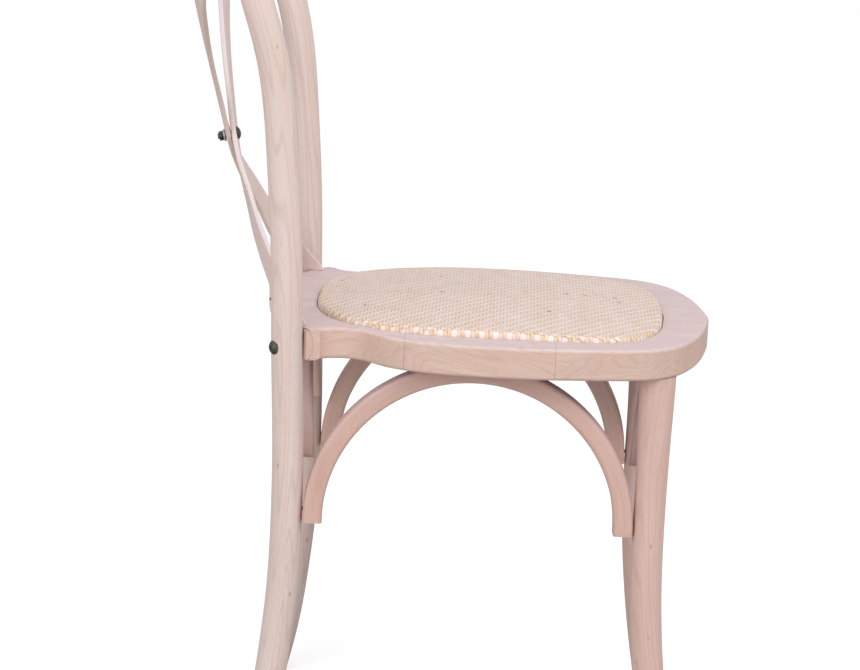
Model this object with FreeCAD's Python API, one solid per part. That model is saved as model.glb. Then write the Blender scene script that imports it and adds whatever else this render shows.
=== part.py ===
import FreeCAD, Part
import math
import os

os.makedirs("parts", exist_ok=True)

V = FreeCAD.Vector
doc = FreeCAD.newDocument("cross_back_chair")

# Driving sizes in mm and degrees. X is the chair's width, the chair faces -Y, Z is up from the floor.
SIZES = [
    ("seat_top", 462.0, "floor to the top of the seat ring"),
    ("back_top", 905.0, "floor to the top of the hoop"),
    ("ring_thick", 32.0, "seat ring thickness"),
    ("ring_front_y", 272.5, "ring centre to its front edge"),
    ("ring_half_width", 212.0, "ring centre to its widest side"),
    ("ring_edge_round", 3.5, "rounding of the ring's edges"),
    ("ledge_width", 10.0, "ledge that carries the seat board"),
    ("ledge_drop", 12.0, "ledge below the ring's top"),
    ("glue_gap", 0.2, "open line at a glued ring joint"),
    ("rod_dia", 32.0, "hoop rod"),
    ("post_x", 168.0, "hoop rod centre at the ring"),
    ("post_y", 161.5, "hoop rod centre at the ring"),
    ("knee_x", 165.5, "hoop rod centre below the ring"),
    ("knee_y", 155.4, "hoop rod centre at its foremost point"),
    ("heel_y", 184.0, "hoop rod centre at the floor"),
    ("shoulder_x", 175.5, "half width of the hoop's arch"),
    ("arch_power", 3.0, "squareness of the hoop's arch"),
    ("slat_width", 27.5, "back slat"),
    ("slat_thick", 5.2, "back slat"),
    ("slat_offset", 3.4, "each slat from the middle plane of the crossing"),
    ("front_leg_x", 155.0, "front leg centre"),
    ("front_leg_y", 215.5, "front leg centre at the ring, forward"),
    ("front_leg_splay", 26.1, "how far the foot runs forward"),
    ("front_leg_dia", 32.7, "front leg"),
    ("front_leg_head_dia", 37.5, "front leg under the ring"),
    ("arch_band", 20.0, "thickness of the bent arches"),
    ("arch_depth", 26.0, "width of the bent arches"),
    ("rear_arch_lean", -4.4, "degrees that the rear arch leans"),
    ("front_arch_lean", 5.3, "degrees that the front arch leans"),
    ("arch_skew", 2.0, "degrees that the cross arches stand askew"),
    ("rear_arch_drop", 106.0, "ring to the rear arch's ends"),
    ("front_arch_drop", 100.0, "ring to the front arch's ends"),
    ("side_arch_drop", 168.0, "ring to the side arches' ends"),
    ("joint_gap", 0.4, "clearance between wood faces that meet"),
    ("pad_gap", 0.8, "pad to ring"),
    ("cover_thick", 2.5, "woven rattan"),
    ("board_thick", 6.0, "seat board"),
    ("pad_edge_rise", 3.0, "pad wall above the ring"),
    ("pad_crown", 13.0, "pad centre above the ring"),
    ("dowel_dia", 8.0, "ring dowel"),
    ("leg_dowel_dia", 12.0, "front leg dowel"),
    ("hole_play", 0.1, "hole over dowel or shank, on diameter"),
    ("bolt_dia", 6.0, "rear leg bolt and slat bolt"),
    ("bolt_head_dia", 16.0, "rear leg bolt head"),
    ("bolt_angle", 57.3, "rear leg bolt from the X axis"),
    ("corner_gap", 1.6, "ring corner face to the hoop rod"),
    ("saddle_width", 31.0, "half-moon block"),
    ("saddle_radius", 22.0, "half-moon block round face"),
    ("saddle_reach", 21.5, "hoop rod centre to the block's round face"),
    ("screw_dia", 4.0, "wood screws"),
    ("screw_head_dia", 8.0, "wood screws"),
    ("slat_screw_dia", 3.0, "small screws at the slat ends"),
    ("slat_screw_head_dia", 4.8, "small screws at the slat ends"),
    ("glide_dia", 22.0, "foot glide"),
    ("glide_thick", 3.0, "foot glide"),
]

sheet = doc.addObject("Spreadsheet::Sheet", "Sizes")
for row, (alias, value, meaning) in enumerate(SIZES, start=1):
    sheet.set("A%d" % row, alias)
    sheet.set("B%d" % row, str(value))
    sheet.set("C%d" % row, meaning)
    sheet.setAlias("B%d" % row, alias)
doc.recompute()


def size(alias):
    return float(sheet.get(alias))


ring_under = size("seat_top") - size("ring_thick")
rod_r = size("rod_dia") / 2
hole_play = size("hole_play")


def put(name, shape):
    """Store a finished solid or group of solids as its own labelled sub-part."""
    item = doc.addObject("Part::Feature", name)
    item.Label = name
    item.Shape = shape
    item.Placement = FreeCAD.Placement()
    return item


def mirrored(shape):
    return shape.mirror(V(0, 0, 0), V(1, 0, 0))


def rod(start, direction, radius, length):
    return Part.makeCylinder(radius, length, start, direction)


def spline(points, closed=False):
    curve = Part.BSplineCurve()
    curve.interpolate(points, PeriodicFlag=closed)
    return curve


def largest(shape):
    return max(shape.Solids, key=lambda solid: solid.Volume)


# Hoop centreline, right half: fraction of the height up to the ring's middle, X blend, Y.
ring_mid = size("seat_top") - size("ring_thick") / 2
LEG_COURSE = [
    (0.135, 0.0, 0.545),
    (0.27, 0.0, 0.265),
    (0.43, 0.0, 0.055),
    (0.605, 0.0, 0.0),
    (0.78, 0.12, None),
]
BACK_COURSE = [
    (0.18, 0.16, 3.0),
    (0.43, 0.42, 11.3),
    (0.61, 0.72, 20.9),
    (0.71, 1.0, 31.5),
]
ARCH_COURSE = [
    (15, 48.0),
    (30, 55.0),
    (45, 61.5),
    (60, 66.5),
    (75, 70.5),
    (90, 73.5),
]
top_z = size("back_top") - rod_r
back_rise = top_z - ring_mid


def hoop_points():
    """Right half of the hoop's centreline from the floor to the middle of its top."""
    knee = V(size("knee_x"), size("knee_y"), 0)
    heel_run = size("heel_y") - size("knee_y")
    points = [V(knee.x, size("heel_y"), 0)]
    for height, blend, run in LEG_COURSE:
        x = knee.x + blend * (size("post_x") - knee.x)
        y = knee.y + (0.25 * (size("post_y") - knee.y) if run is None else run * heel_run)
        points.append(V(x, y, height * ring_mid))
    points.append(V(size("post_x"), size("post_y"), ring_mid))
    for height, blend, run in BACK_COURSE:
        x = size("post_x") + blend * (size("shoulder_x") - size("post_x"))
        points.append(V(x, size("post_y") + run, ring_mid + height * back_rise))
    arch_start = points[-1].z
    power = 2 / size("arch_power")
    for angle, run in ARCH_COURSE:
        x = size("shoulder_x") * max(math.cos(math.radians(angle)), 0) ** power
        z = arch_start + (top_z - arch_start) * math.sin(math.radians(angle)) ** power
        points.append(V(x if angle < 90 else 0, size("post_y") + run, z))
    return points


half = hoop_points()
hoop_curve = spline(half + [V(-p.x, p.y, p.z) for p in reversed(half[:-1])])


def post_at(height):
    """Centre of the right post at a height."""
    low, high = 0.0, hoop_curve.LastParameter / 2
    for _ in range(40):
        middle = (low + high) / 2
        if hoop_curve.value(middle).z < height:
            low = middle
        else:
            high = middle
    return hoop_curve.value(low)


def above_floor(shape):
    """Cut a leg level where its glide begins."""
    reach = 2 * size("back_top")
    keep = Part.makeBox(reach, reach, reach, V(-reach / 2, -reach / 2, size("glide_thick")))
    return largest(shape.common(keep))


below = 2 * rod_r
full = [V(half[0].x, half[0].y + 0.25 * below, -below)] + half
hoop_spine = spline(full + [V(-p.x, p.y, p.z) for p in reversed(full[:-1])])
hoop_section = Part.Wire([Part.makeCircle(rod_r, full[0], hoop_spine.tangent(0)[0])])
hoop_wire = Part.Wire([hoop_spine.toShape()])
hoop = above_floor(hoop_wire.makePipeShell([hoop_section], True, False))

# Seat ring: right half outlines, X over the ring's half width, Y over its front or its rear reach.
RING_OUTER = [
    (0.0, -1.0),
    (0.113, -0.993),
    (0.330, -0.969),
    (0.509, -0.938),
    (0.660, -0.897),
    (0.741, -0.866),
    (0.802, -0.828),
    (0.849, -0.788),
    (0.888, -0.735),
    (0.915, -0.672),
    (0.962, -0.488),
    (0.990, -0.349),
    (1.0, -0.202),
    (0.995, -0.062),
    (0.981, 0.037),
    (0.925, 0.266),
    (0.844, 0.421),
    (0.757, 0.532),
]
RING_OPENING = [
    (0.0, -0.823),
    (0.198, -0.818),
    (0.375, -0.806),
    (0.535, -0.774),
    (0.660, -0.720),
    (0.745, -0.635),
    (0.785, -0.517),
    (0.798, -0.345),
    (0.803, -0.187),
    (0.797, 0.050),
    (0.762, 0.310),
    (0.673, 0.530),
    (0.551, 0.705),
    (0.392, 0.812),
    (0.198, 0.862),
    (0.0, 0.870),
]
# Neck and ear of a rear corner, and the rear edge, from the post's centre.
NECK = [(-13.5, -60.0), (-12.5, -48.5), (-8.5, -39.0), (-2.0, -33.5)]
RING_BACK = [(-46.0, 2.5), (-68.0, 12.5), (-108.0, 20.5)]
REAR_EDGE = 23.5
EAR_REACH = 14.5
CORNER_REACH = 24.0

bolt_angle = math.radians(size("bolt_angle"))
bolt_dir = V(math.cos(bolt_angle), math.sin(bolt_angle), 0)
across = V(bolt_dir.y, -bolt_dir.x, 0)
post_seat = V(size("post_x"), size("post_y"), ring_mid)
corner_face = post_seat - bolt_dir * (rod_r + size("corner_gap"))


def ring_point(x, y, z):
    reach = size("ring_front_y") if y < 0 else size("post_y")
    return V(x * size("ring_half_width"), y * reach, z)


def from_post(x, y, z):
    return V(size("post_x") + x, size("post_y") + y, z)


def flip(points):
    return [V(-p.x, p.y, p.z) for p in reversed(points)]


def ring_blank():
    """Ring outline with its two rear corners, padded and rounded."""
    z = ring_under
    front = [ring_point(x, y, z) for x, y in RING_OUTER] + [from_post(x, y, z) for x, y in NECK]
    tip = front[-1]
    ear_end = V(corner_face.x, corner_face.y, z) + across * EAR_REACH
    face_end = V(corner_face.x, corner_face.y, z) - across * CORNER_REACH
    back = [face_end] + [from_post(x, y, z) for x, y in RING_BACK]
    back.append(V(0, size("post_y") + REAR_EDGE, z))
    edges = [
        spline(flip(front) + front[1:]).toShape(),
        Part.makeLine(tip, ear_end),
        Part.makeLine(ear_end, face_end),
        spline(back + flip(back)[1:]).toShape(),
        Part.makeLine(*flip([ear_end, face_end])),
        Part.makeLine(*flip([tip, ear_end])),
    ]
    outline = Part.Face(Part.Wire(Part.sortEdges(edges)[0]))
    blank = outline.extrude(V(0, 0, size("ring_thick")))
    long_edges = [e for e in blank.Edges if e.Length > 2 * size("post_x")]
    return blank.makeFillet(size("ring_edge_round"), long_edges)


def opening(inset, low, high):
    """Seat opening drawn in by an inset, as a solid between two heights."""
    right = [ring_point(x, y, low) for x, y in RING_OPENING]
    loop = right + flip(right)[1:-1]
    count = len(loop)
    drawn = []
    for i, point in enumerate(loop):
        run = loop[(i + 1) % count] - loop[i - 1]
        drawn.append(point + V(-run.y, run.x, 0).normalize() * inset)
    wire = Part.Wire([spline(drawn, True).toShape()])
    return Part.Face(wire).extrude(V(0, 0, high - low))


ledge_z = size("seat_top") - size("ledge_drop")
ring = ring_blank()
ring = ring.cut(opening(0, ledge_z, size("seat_top") + size("ring_thick")))
ring = ring.cut(opening(size("ledge_width"), ring_under - 1, ledge_z + 1))

# Glued joints of the ring: height along Y of each cut, and dowel spots beside them.
REAR_JOINT_Y = 42.0
FRONT_JOINT_Y = -110.0
DOWEL_SPOTS = [
    (0.767, REAR_JOINT_Y),
    (0.816, REAR_JOINT_Y),
    (0.840, FRONT_JOINT_Y),
    (0.906, FRONT_JOINT_Y),
]
dowel_z = ring_under + size("ring_thick") * 0.36
dowel_half = 2.5 * size("dowel_dia")


def ring_dowels(play):
    solids = []
    for x, y in DOWEL_SPOTS:
        for side in (-1, 1):
            start = V(side * x * size("ring_half_width"), y - dowel_half - play, dowel_z)
            length = 2 * (dowel_half + play)
            solids.append(rod(start, V(0, 1, 0), (size("dowel_dia") + play) / 2, length))
    return Part.makeCompound(solids)


# Rear leg bolts, barrel nuts and half-moon blocks, right side.
bolt_z = ring_mid - 3
bolt_r = size("bolt_dia") / 2
nut_distance = rod_r + 27
post_bolt = V(size("post_x"), size("post_y"), bolt_z)
seat_cut = 1.5
HEAD_RISE = 5.0
NUT_DIA = 10.0
NUT_LENGTH = 16.0


def turned(base, out, head_dia, rise, shank_dia, length):
    """Domed fastener turned in one piece: head standing out of its base point, shank behind."""
    head_r = head_dia / 2
    ball = (head_r * head_r + rise * rise) / (2 * rise)
    half_turn = math.asin(head_r / ball) / 2
    side = out.cross(V(0, 0, 1) if abs(out.z) < 0.9 else V(1, 0, 0)).normalize()

    def at(radius, height):
        return base + side * radius + out * height

    crown = Part.Arc(at(head_r, 0), at(ball * math.sin(half_turn), rise - ball + ball * math.cos(half_turn)),
                     at(0, rise)).toShape()
    shank = Part.makePolygon([at(0, rise), at(0, -length), at(shank_dia / 2, -length), at(shank_dia / 2, 0),
                              at(head_r, 0)])
    return Part.Face(Part.Wire([crown] + shank.Edges)).revolve(base, out, 360)


def leg_bolt():
    base = post_bolt + bolt_dir * (rod_r - seat_cut)
    length = rod_r - seat_cut + nut_distance + NUT_DIA
    return turned(base, bolt_dir, size("bolt_head_dia"), HEAD_RISE, size("bolt_dia"), length)


def leg_bolt_room():
    base = post_bolt + bolt_dir * (rod_r - seat_cut)
    tip = post_bolt - bolt_dir * (nut_distance + NUT_DIA + 1)
    shank = rod(tip, bolt_dir, bolt_r + hole_play / 2, (base - tip).Length + rod_r)
    return shank.fuse(rod(base, bolt_dir, size("bolt_head_dia") / 2 + 0.5, rod_r))


nut_centre = post_bolt - bolt_dir * nut_distance
nut_top = nut_centre + V(0, 0, NUT_LENGTH / 2)
barrel = rod(nut_top, V(0, 0, -1), NUT_DIA / 2, NUT_LENGTH)
barrel = barrel.cut(rod(nut_centre - bolt_dir * NUT_DIA, bolt_dir, bolt_r + hole_play / 2, 2 * NUT_DIA))
barrel_room = rod(nut_top, V(0, 0, -1), (NUT_DIA + hole_play) / 2, size("ring_thick"))

saddle_axis = post_seat - bolt_dir * (size("saddle_reach") - size("saddle_radius"))
saddle_half = size("saddle_width") / 2
gap = size("joint_gap")


def saddle_drum(radius, half_width):
    return rod(saddle_axis - across * half_width, across, radius, 2 * half_width)


def saddle():
    """Half-moon block: round face to the ring corner, hollow face to the post."""
    drum = saddle_drum(size("saddle_radius"), saddle_half)
    tall = size("ring_thick") - 2
    flat_back = rod_r - 2 - (size("saddle_reach") - size("saddle_radius"))
    slab = Part.makeBox(size("saddle_radius"), size("saddle_width"), tall)
    slab.translate(V(-size("saddle_radius") - flat_back, -saddle_half, -tall / 2))
    slab.rotate(V(0, 0, 0), V(0, 0, 1), size("bolt_angle"))
    slab.translate(saddle_axis)
    block = drum.common(slab)
    post = rod(V(size("post_x"), size("post_y"), ring_under - rod_r), V(0, 0, 1), rod_r + 2 * gap, 4 * rod_r)
    return largest(block.cut(post).cut(leg_bolt_room()))


ring = ring.cut(saddle_drum(size("saddle_radius") + gap, saddle_half + gap))
ring = ring.cut(mirrored(saddle_drum(size("saddle_radius") + gap, saddle_half + gap)))
corner_room = leg_bolt_room().fuse(barrel_room)
ring = ring.cut(corner_room).cut(mirrored(corner_room))
ring = ring.cut(ring_dowels(hole_play))
bolt_room_both = [leg_bolt_room(), mirrored(leg_bolt_room())]
hoop = hoop.cut(bolt_room_both[0]).cut(bolt_room_both[1])

# Front legs: stations down from the ring as height over the ring's underside, forward run, taper.
FRONT_LEG = [
    (1.0, 0.0, 1.0),
    (0.93, 0.0, 0.72),
    (0.85, 0.0, 0.30),
    (0.76, 0.0, 0.0),
    (0.535, 0.0, 0.0),
    (0.40, 0.10, 0.0),
    (0.30, 0.25, 0.0),
    (0.14, 0.60, 0.0),
    (0.0, 1.0, 0.0),
]
leg_dowel_half = 24.0


def front_leg():
    rings = []
    for height, run, taper in FRONT_LEG:
        radius = size("front_leg_dia") / 2
        radius += taper * (size("front_leg_head_dia") - size("front_leg_dia")) / 2
        y = -size("front_leg_y") - run * size("front_leg_splay")
        z = size("glide_thick") + height * (ring_under - size("glide_thick"))
        rings.append(Part.Wire([Part.makeCircle(radius, V(size("front_leg_x"), y, z))]))
    return Part.makeLoft(rings, True, False)


def front_leg_dowel(play):
    start = V(size("front_leg_x"), -size("front_leg_y"), ring_under - leg_dowel_half - play)
    length = 2 * (leg_dowel_half + play) - size("ring_thick") * 0.2
    return rod(start, V(0, 0, 1), (size("leg_dowel_dia") + play) / 2, length)


leg = front_leg().cut(front_leg_dowel(hole_play))
ring = ring.cut(front_leg_dowel(hole_play)).cut(mirrored(front_leg_dowel(hole_play)))


def slab_between(low, high):
    reach = 2 * size("back_top")
    return Part.makeBox(reach, high - low, reach, V(-reach / 2, low, -reach / 2))


half_glue = size("glue_gap") / 2
far = size("back_top")
front_rail = largest(ring.common(slab_between(-far, FRONT_JOINT_Y - half_glue)))
side_rails = ring.common(slab_between(FRONT_JOINT_Y + half_glue, REAR_JOINT_Y - half_glue)).Solids
side_rails.sort(key=lambda solid: solid.CenterOfMass.x)
rear_rail = largest(ring.common(slab_between(REAR_JOINT_Y + half_glue, far)))

# Bent arches: a round-cornered band, planed level under the seat and cut square at its ends.
ARCH_ROUND = 4.0


def rounded_section(centre, wide_dir, thin_dir, wide, thin, radius):
    """Closed wire of a round-cornered rectangle."""
    a, b = wide / 2, thin / 2
    c = radius * (1 - math.sqrt(0.5))

    def at(u, v):
        return centre + wide_dir * u + thin_dir * v

    edges = []
    for i in range(4):
        su, sv = [(1, 1), (-1, 1), (-1, -1), (1, -1)][i]
        into = at(su * a, sv * (b - radius)), at(su * (a - c), sv * (b - c)), at(su * (a - radius), sv * b)
        start, middle, end = into if su * sv > 0 else into[::-1]
        edges.append(Part.Arc(start, middle, end).toShape())
        nu, nv = [(1, 1), (-1, 1), (-1, -1), (1, -1)][(i + 1) % 4]
        next_in = at(nu * (a - radius), nv * b) if nu * nv < 0 else at(nu * a, nv * (b - radius))
        edges.append(Part.makeLine(end, next_in))
    return Part.Wire(edges)


def arch(span, inner, centre_z, drop, lean=0.0):
    """Band over the origin along X, its ends at plus and minus half the span, leaning under the seat."""
    depth = size("arch_depth")
    middle = V(inner + size("arch_band") / 2, 0, centre_z)
    section = rounded_section(middle, V(1, 0, 0), V(0, 1, 0), size("arch_band"), depth, ARCH_ROUND)
    face = Part.Face(section)
    band = face.revolve(V(0, 0, centre_z), V(0, -1, 0), 180)
    low = ring_under - drop
    if centre_z > low:
        leg_piece = face.extrude(V(0, 0, low - centre_z - gap))
        band = band.fuse(leg_piece).fuse(mirrored(leg_piece)).removeSplitter()
    if lean:
        band.rotate(V(0, 0, ring_under), V(1, 0, 0), lean)
        band.rotate(V(0, 0, 0), V(0, 0, 1), math.copysign(size("arch_skew"), -lean))
    window = Part.makeBox(span, 4 * depth, drop - gap / 2, V(-span / 2, -2 * depth, low))
    return largest(band.common(window))


# Under the seat: where the bent arches meet the legs.
knee_front = size("knee_y") - rod_r - gap
leg_low_r = size("front_leg_dia") / 2
leg_back = -size("front_leg_y") + leg_low_r + gap
side_span = knee_front - leg_back
side_centre_z = ring_under - size("side_arch_drop") + 4.0
side_slope = math.degrees(math.atan2(size("knee_x") - size("front_leg_x"), side_span))
side_arch = arch(side_span, side_span / 2 - size("arch_band"), side_centre_z, size("side_arch_drop"))
side_arch.rotate(V(0, 0, 0), V(0, 0, 1), 90 - side_slope)
side_arch.translate(V((size("knee_x") + size("front_leg_x")) / 2, (knee_front + leg_back) / 2, 0))


def cross_arch(half_span, drop, y, lean):
    """Arch between two legs: its rise and half span fix its radius."""
    band = size("arch_band")
    rise = drop - band / 2
    reach = half_span - band / 2 + 1
    radius = (reach * reach + rise * rise) / (2 * rise)
    piece = arch(2 * half_span, radius - band / 2, ring_under - radius - band / 2, drop, lean)
    piece.translate(V(0, y, 0))
    return piece


front_arch_y = -size("front_leg_y") - 3.7
rear_arch_y = size("knee_y") + 1.2
front_half = size("front_leg_x") - leg_low_r - gap
rear_half = size("knee_x") - rod_r - gap
front_arch = cross_arch(front_half, size("front_arch_drop"), front_arch_y, size("front_arch_lean"))
rear_arch = cross_arch(rear_half, size("rear_arch_drop"), rear_arch_y, size("rear_arch_lean"))
front_arch = front_arch.cut(leg).cut(mirrored(leg))

# Cross slats, low at the left and high at the right: X share, run from the post, height share, and the
# twist of the front and of the rear slat.
SLAT_COURSE = [
    (-1.0, -10.0, -0.030, -90, -90),
    (-1.0, -2.4, 0.002, -90, -90),
    (-0.965, 3.7, 0.021, -70, -80),
    (-0.86, 12.9, 0.054, -42, -65),
    (-0.75, 18.6, 0.089, -22, -48),
    (-0.668, 27.4, 0.124, -16, -31),
    (-0.58, 35.6, 0.159, -13, -15),
    (-0.487, 44.3, 0.201, -9, -2),
    (-0.342, 53.9, 0.253, -3, 3),
    (-0.158, 67.0, 0.323, 4, 11),
    (0.0, 76.5, 0.396, 6, 13),
    (0.155, 84.5, 0.487, 7, 15),
    (0.362, 92.4, 0.581, 11, 15),
    (0.582, 97.9, 0.663, 14, 18),
    (0.775, 101.8, 0.733, 20, 23),
    (0.905, 102.0, 0.7915, 34, 29),
    (0.955, 92.0, 0.843, 53, 46),
    (0.955, 77.5, 0.8806, 73, 68),
    (0.935, 62.3, 0.904, 92, 94),
]
CROSSING = 10
FRONT, REAR = -1, 1
slat_end = size("post_x") - rod_r - size("slat_thick") / 2 - 0.1


def slat_frames(side):
    """Centre, run, width and face directions along the front or the rear slat."""
    points = []
    for x, run, height, _, _ in SLAT_COURSE:
        y = size("post_y") + run + side * size("slat_offset") * (1 - x * x)
        points.append(V(x * slat_end, y, size("seat_top") + height * (top_z - size("seat_top"))))
    curve = spline(points)
    frames = []
    for point, course in zip(points, SLAT_COURSE):
        along = curve.tangent(curve.parameter(point))[0]
        level = V(0, 1, 0) - along * along.y
        level.normalize()
        flat = along.cross(level)
        turn = math.radians(course[4] if side == REAR else course[3])
        wide = flat * math.cos(turn) + level * math.sin(turn)
        face = level * math.cos(turn) - flat * math.sin(turn)
        frames.append((point, along, wide, face))
    return frames


def slat(side):
    sections = []
    for point, along, wide, face in slat_frames(side):
        sections.append(rounded_section(point, wide, face, size("slat_width"), size("slat_thick"), 1.5))
    blade = Part.makeLoft(sections, True, False)
    reach = 2 * size("back_top")
    above = Part.makeBox(reach, reach, reach, V(-reach / 2, -reach / 2, size("seat_top") + gap))
    return largest(blade.common(above))


# Crossing bolt through both slats, nut and washer behind.
cross_point, cross_run, _, _ = slat_frames(0)[CROSSING]
cross_dir = V(0, cross_run.z, -cross_run.y).normalize()
stack = size("slat_offset") * cross_dir.y + size("slat_thick") / 2 + 2 * gap
WASHER_THICK = 1.4
WASHER_DIA = 13.0
SLAT_NUT_THICK = 5.0
SLAT_NUT_FLATS = 9.5
SLAT_HEAD_DIA = 14.0
SLAT_HEAD_RISE = 3.2
bolt_room = rod(cross_point - cross_dir * rod_r, cross_dir, bolt_r + hole_play / 2, 2 * rod_r)
washer_base = cross_point + cross_dir * stack
nut_base = washer_base + cross_dir * WASHER_THICK
slat_bolt = turned(cross_point - cross_dir * stack, -cross_dir, SLAT_HEAD_DIA, SLAT_HEAD_RISE,
                   size("bolt_dia"), 2 * stack + WASHER_THICK + SLAT_NUT_THICK + 1.5)
slat_washer = rod(washer_base, cross_dir, WASHER_DIA / 2, WASHER_THICK).cut(bolt_room)
corners = []
for i in range(7):
    turn = math.radians(60 * i)
    spoke = V(1, 0, 0) * math.cos(turn) + cross_dir.cross(V(1, 0, 0)) * math.sin(turn)
    corners.append(nut_base + spoke * (SLAT_NUT_FLATS / math.sqrt(3)))
slat_nut = Part.Face(Part.makePolygon(corners)).extrude(cross_dir * SLAT_NUT_THICK).cut(bolt_room)

# Screws: domed head on its base, shank into the wood behind.
SCREW_RISE = 2.4
SMALL_RISE = 0.8
SCREW_LENGTH = 24.0


def screw(base, direction, play=0.0, small=False):
    """Screw whose head stands on a base point and whose shank runs along a direction."""
    shank_dia = size("slat_screw_dia" if small else "screw_dia")
    head_dia = size("slat_screw_head_dia" if small else "screw_head_dia")
    rise = SMALL_RISE if small else SCREW_RISE
    if not play:
        return turned(base, -direction, head_dia, rise, shank_dia, SCREW_LENGTH)
    shank = rod(base, direction, (shank_dia + play) / 2, SCREW_LENGTH + play)
    return shank.fuse(rod(base, -direction, head_dia / 2 + play, 3 * SCREW_RISE))


frames = slat_frames(FRONT)
low_point = (frames[2][0] + frames[3][0]) / 2
high_point = frames[-1][0]
face_step = size("slat_thick") / 2 - 0.2


def slat_screw_pair(play):
    """Lower screw at the left post and upper screw at the right one, of the front slat."""
    low_face = (frames[2][3] + frames[3][3]).normalize()
    low_face = low_face if low_face.x < 0 else low_face * -1
    low = screw(low_point - low_face * face_step, low_face, play, True)
    toward = (hoop_near(high_point) - high_point).normalize()
    high = screw(high_point - toward * face_step, toward, play, True)
    return [low, high]


def hoop_near(point):
    return hoop_spine.value(hoop_spine.parameter(point))


def slat_screws(play=0.0):
    pair = slat_screw_pair(play)
    return pair + [mirrored(s) for s in pair]


front_slat = slat(FRONT)
rear_slat = mirrored(slat(REAR))
room = Part.makeCompound(slat_screws(hole_play))
hoop_skin = hoop_wire.makePipeShell(
    [Part.Wire([Part.makeCircle(rod_r + hole_play, full[0], hoop_spine.tangent(0)[0])])], True, False)
front_slat = largest(front_slat.cut(hoop_skin).cut(bolt_room).cut(room))
rear_slat = largest(rear_slat.cut(hoop_skin).cut(bolt_room).cut(room))
hoop = hoop.cut(room)

# Arch screws, sunk in the inner side of each arch end.
SIDE_SCREW_RISE = 12.0
SCREW_SINK = 4.0


def arch_screws(play=0.0):
    thick = size("arch_band")
    rear_z = ring_under - size("rear_arch_drop") + 9
    front_z = ring_under - size("front_arch_drop") + 8
    side_z = ring_under - size("side_arch_drop") + SIDE_SCREW_RISE
    right = [
        screw(V(rear_half - thick + SCREW_SINK, size("knee_y") - 2, rear_z), V(1, 0, 0), play),
        screw(V(front_half - thick + SCREW_SINK, -size("front_leg_y") + 2, front_z), V(1, 0, 0), play),
        screw(V(size("knee_x"), knee_front - thick + SCREW_SINK, side_z), V(0, 1, 0), play),
        screw(V(size("front_leg_x"), leg_back + thick - SCREW_SINK, side_z), V(0, -1, 0), play),
    ]
    return right + [mirrored(s) for s in right]


screw_room = Part.makeCompound(arch_screws(hole_play))
hoop = hoop.cut(screw_room)
leg = leg.cut(screw_room)
side_arch = side_arch.cut(screw_room)
front_arch = front_arch.cut(screw_room)
rear_arch = rear_arch.cut(screw_room)

# Seat pad: board on the ledge, foam on the board, woven rattan drawn over both.
CROWN_RADIUS = 2500.0
PAD_ROUND = 6.0


def pad_solid(inset, low, lowered, rounding):
    """Domed block in the opening."""
    block = opening(inset, low, size("seat_top") + 2 * size("pad_crown"))
    crown_top = size("seat_top") + size("pad_crown") - lowered
    ball = Part.makeSphere(CROWN_RADIUS, V(0, -40, crown_top - CROWN_RADIUS))
    domed = block.common(ball)
    rim = [e for e in domed.Edges if e.BoundBox.ZMin > low + 1 and e.Length > 100]
    return domed.makeFillet(rounding, rim)


inner_inset = size("pad_gap") + size("cover_thick")
board_top = ledge_z + size("board_thick")
pad_outer = pad_solid(size("pad_gap"), ledge_z, 0, PAD_ROUND)
pad_inner = pad_solid(inner_inset, ledge_z, size("cover_thick"), PAD_ROUND - size("cover_thick"))
cover = pad_outer.cut(pad_inner)
board = opening(inner_inset + 0.2, ledge_z, board_top)
foam = pad_solid(inner_inset + 0.3, board_top + 0.1, size("cover_thick") + 0.3, PAD_ROUND - size("cover_thick"))

# Screws from under the ledge up into the board.
SEAT_SCREWS = [(0.798, -0.345), (0.797, 0.05)]
SEAT_SCREW_INSET = 6.5


def seat_screws(play=0.0):
    solids = []
    for x, y in SEAT_SCREWS:
        start = ring_point(x, y, ledge_z - 16) - V(SEAT_SCREW_INSET, 0, 0)
        shank = rod(start, V(0, 0, 1), (size("screw_dia") + play) / 2, 16 + size("board_thick") - 1 + play)
        head = rod(start, V(0, 0, -1), size("screw_head_dia") / 2 + play, 3 if not play else ledge_z)
        solids.append(shank.fuse(head).removeSplitter())
    return solids + [mirrored(s) for s in solids]


seat_room = Part.makeCompound(seat_screws(hole_play))
board = board.cut(seat_room)
front_rail = front_rail.cut(seat_room)
rear_rail = rear_rail.cut(seat_room)
side_rails = [rail.cut(seat_room) for rail in side_rails]

# Foot glides: a disc with a stub in the leg.
GLIDE_STUB_DIA = 6.0
GLIDE_STUB = 14.0


def glides(play=0.0):
    solids = []
    for x, y in ((size("front_leg_x"), -size("front_leg_y") - size("front_leg_splay")),
                 (size("knee_x"), size("heel_y"))):
        disc = rod(V(x, y, 0), V(0, 0, 1), size("glide_dia") / 2, size("glide_thick"))
        stub = rod(V(x, y, 0), V(0, 0, 1), (GLIDE_STUB_DIA + play) / 2, GLIDE_STUB + play)
        solids.append(disc.fuse(stub).removeSplitter())
    return solids + [mirrored(s) for s in solids]


glide_room = Part.makeCompound(glides(hole_play))
hoop = hoop.cut(glide_room)
leg = leg.cut(glide_room)

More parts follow.
